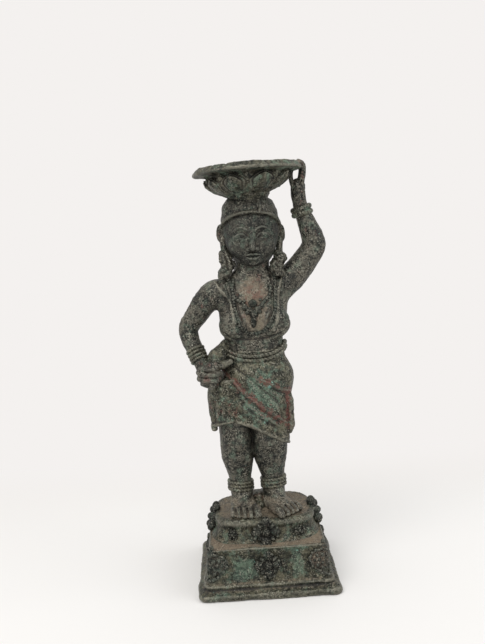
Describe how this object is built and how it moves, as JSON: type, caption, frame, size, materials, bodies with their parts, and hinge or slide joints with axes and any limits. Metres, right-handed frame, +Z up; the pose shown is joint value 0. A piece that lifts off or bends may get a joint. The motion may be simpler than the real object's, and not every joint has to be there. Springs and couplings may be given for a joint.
{
  "type": "cast brass lamp bearer figure",
  "caption": "Standing cast brass figure on a stepped square pedestal, carrying a round lotus dish on its head with one raised hand.",
  "frame": {"origin": "centre of the pedestal's square underside, on the plane it stands on", "axes": "+Z up; the figure faces -Y; its left hand, the raised one, is towards +X"},
  "size_m": [0.0785, 0.072, 0.2146],
  "materials": {
    "dark_bronze": "dark grey-brown patina on cast metal, finely pitted, worn brighter on the high places",
    "green_patina": "dull green patina over dark cast metal, with pale green in the hollows",
    "brown_patina": "brown earthy patina on ledges and in recesses",
    "worn_knobs": "near-black rubbed metal on raised knobs"
  },
  "bodies": {
    "root": {"ankle_web": "brown_patina", "anklet_left": "green_patina", "anklet_right": "green_patina", "arm_left": "dark_bronze", "arm_right": "dark_bronze", "bangle_left": "green_patina", "bangle_right": "green_patina", "belt_cord_lower": "green_patina", "belt_cord_upper": "green_patina", "corner_leaf_back_left": "green_patina", "corner_leaf_back_right": "green_patina", "corner_leaf_front_left": "green_patina", "corner_leaf_front_right": "green_patina", "crown_collar": "brown_patina", "ear_left": "dark_bronze", "ear_right": "dark_bronze", "earring_left": "green_patina", "earring_right": "green_patina", "fingers_left": "dark_bronze", "foot_left": "dark_bronze", "foot_right": "dark_bronze", "hair_cap": "dark_bronze", "hand_left": "dark_bronze", "hand_right": "dark_bronze", "head": "dark_bronze", "leg_left": "dark_bronze", "leg_right": "dark_bronze", "lotus_calyx": "green_patina", "lower_rosette_back": "worn_knobs", "lower_rosette_front": "worn_knobs", "lower_rosette_left": "worn_knobs", "lower_rosette_right": "worn_knobs", "necklace_long": "worn_knobs", "necklace_short": "worn_knobs", "oil_dish": "green_patina", "pedestal_foot": "brown_patina", "pedestal_lower_tier": "green_patina", "pedestal_upper_tier": "green_patina", "pendant_drop": "worn_knobs", "pendant_rosette": "worn_knobs", "side_drape": "green_patina", "skirt_fold_hip": "brown_patina", "skirt_fold_long": "brown_patina", "small_rosette_back_left": "worn_knobs", "small_rosette_back_right": "worn_knobs", "small_rosette_front_left": "worn_knobs", "small_rosette_front_right": "worn_knobs", "thumb_left": "dark_bronze", "torso": "dark_bronze", "upper_rosette_back": "worn_knobs", "upper_rosette_front": "worn_knobs", "upper_rosette_left": "worn_knobs", "upper_rosette_right": "worn_knobs", "wrap_skirt": "green_patina"}
  },
  "joints": []
}
